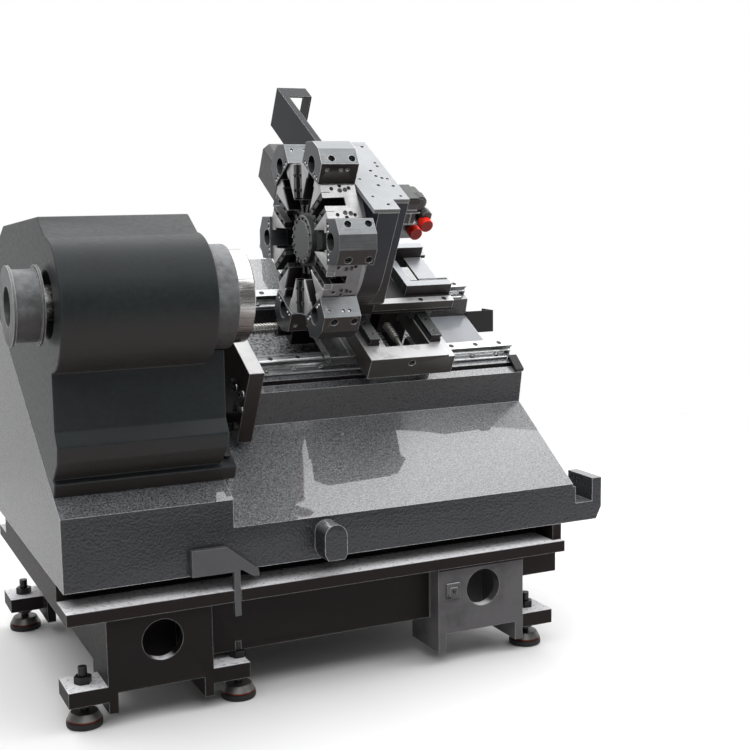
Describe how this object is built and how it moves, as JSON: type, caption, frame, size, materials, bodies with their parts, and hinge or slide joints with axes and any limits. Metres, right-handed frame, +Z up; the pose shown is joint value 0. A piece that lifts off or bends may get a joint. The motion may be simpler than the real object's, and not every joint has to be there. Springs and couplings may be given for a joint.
{
  "type": "slant bed cnc turning lathe",
  "caption": "Slant bed turning lathe with its covers off: inclined cast bed on a low base, headstock, spindle, saddle on linear rails, cross slide and indexing tool turret.",
  "frame": {"origin": "on the floor, at the centre of the underside of the front right foot", "axes": "+X along the spindle from the headstock to the right end of the bed, +Y to the back of the machine, +Z up"},
  "size_m": [1.733, 1.4563, 1.7023],
  "materials": {
    "bed_paint": "satin",
    "base_paint": "satin",
    "head_paint": "satin",
    "turret_paint": "satin",
    "plate_steel": "machined",
    "ground_steel": "ground",
    "strip_steel": "machined",
    "black_steel": "black oxide",
    "black_plastic": "matte",
    "pad_steel": "machined",
    "black_rubber": "matte",
    "motor_black": "satin",
    "raw_casting": "rough cast",
    "bearing_steel": "ground",
    "turned_steel": "turned",
    "screw_steel": "ground",
    "coupling_alloy": "satin",
    "saddle_iron": "ground",
    "trough_steel": "satin",
    "slide_iron": "machined",
    "lid_paint": "satin",
    "sheet_paint": "satin",
    "unit_grey": "satin",
    "union_steel": "satin",
    "red_plastic": "gloss",
    "disc_steel": "machined",
    "clamp_steel": "machined",
    "cover_steel": "machined",
    "holder_steel": "machined"
  },
  "bodies": {
    "bed": {"bed_casting": "bed_paint", "base_casting": "base_paint", "headstock_casting": "head_paint", "cap_screws": "black_steel", "bed_end_plate": "plate_steel", "lower_rail": "ground_steel", "upper_rail": "ground_steel", "lower_strip": "strip_steel", "upper_strip": "strip_steel", "strip_screws": "black_steel", "way_end_block": "black_steel", "front_left_bracket": "base_paint", "rear_tray": "black_plastic", "levelling_screws": "black_steel", "levelling_nuts": "black_steel", "foot_pads": "pad_steel", "foot_rubbers": "black_rubber", "z_motor": "motor_black", "z_screw_bearing": "base_paint", "z_screw_support": "base_paint", "nose_ring": "raw_casting", "spindle_bearings": "bearing_steel"},
    "spindle_group": {"spindle": "turned_steel", "spindle_pulley": "raw_casting"},
    "long_screw": {"z_ball_screw": "screw_steel", "z_coupling": "coupling_alloy"},
    "saddle_group": {"saddle": "saddle_iron", "z_carriage_blocks": "ground_steel", "saddle_trough": "trough_steel", "saddle_rear_lug": "saddle_iron", "x_rail_left": "ground_steel", "x_rail_right": "ground_steel", "z_ball_nut": "black_steel", "x_motor_mount": "turret_paint", "x_motor": "motor_black"},
    "short_screw": {"x_ball_screw": "screw_steel", "x_coupling": "coupling_alloy"},
    "slide_group": {"cross_slide": "slide_iron", "x_carriage_blocks": "ground_steel", "x_ball_nut": "black_steel", "turret_housing": "turret_paint", "turret_lid": "lid_paint", "sheet_bracket": "sheet_paint", "turret_motor": "unit_grey", "union_block": "union_steel", "port_fittings": "black_steel", "port_caps": "red_plastic"},
    "turret_group": {"turret_disc": "disc_steel", "slot_clamps": "clamp_steel", "hub_cover": "cover_steel", "hub_bolts": "black_steel", "turret_shaft": "ground_steel", "boring_holder_1": "holder_steel", "boring_holder_2": "holder_steel", "boring_holder_3": "holder_steel", "boring_holder_4": "holder_steel", "boring_holder_5": "holder_steel", "boring_holder_6": "holder_steel"}
  },
  "joints": [
    {"name": "spindle_turn", "type": "hinge", "parent": "bed", "child": "spindle_group", "pos_m": [-0.917, -0.02606, 1.10744], "axis": [1, 0, 0], "continuous": true},
    {"name": "saddle_travel", "type": "slide", "parent": "bed", "child": "saddle_group", "axis": [1, 0, 0], "range_m": [-0.16, 0.09]},
    {"name": "long_screw_turn", "type": "hinge", "parent": "bed", "child": "long_screw", "pos_m": [-0.5, 0.47061, 0.96118], "axis": [1, 0, 0], "continuous": true},
    {"name": "slide_travel", "type": "slide", "parent": "saddle_group", "child": "slide_group", "axis": [0, 0.866, 0.5], "range_m": [-0.025, 0.175]},
    {"name": "short_screw_turn", "type": "hinge", "parent": "saddle_group", "child": "short_screw", "pos_m": [-0.302, 0.43421, 1.03023], "axis": [0, 0.866, 0.5], "continuous": true},
    {"name": "turret_index", "type": "hinge", "parent": "slide_group", "child": "turret_group", "pos_m": [-0.586, 0.2043, 1.24044], "axis": [1, 0, 0], "continuous": true}
  ],
  "couplings": [
    {"joint": "long_screw_turn", "follows": "saddle_travel", "rad_per_m": 628.32},
    {"joint": "short_screw_turn", "follows": "slide_travel", "rad_per_m": 628.32}
  ]
}
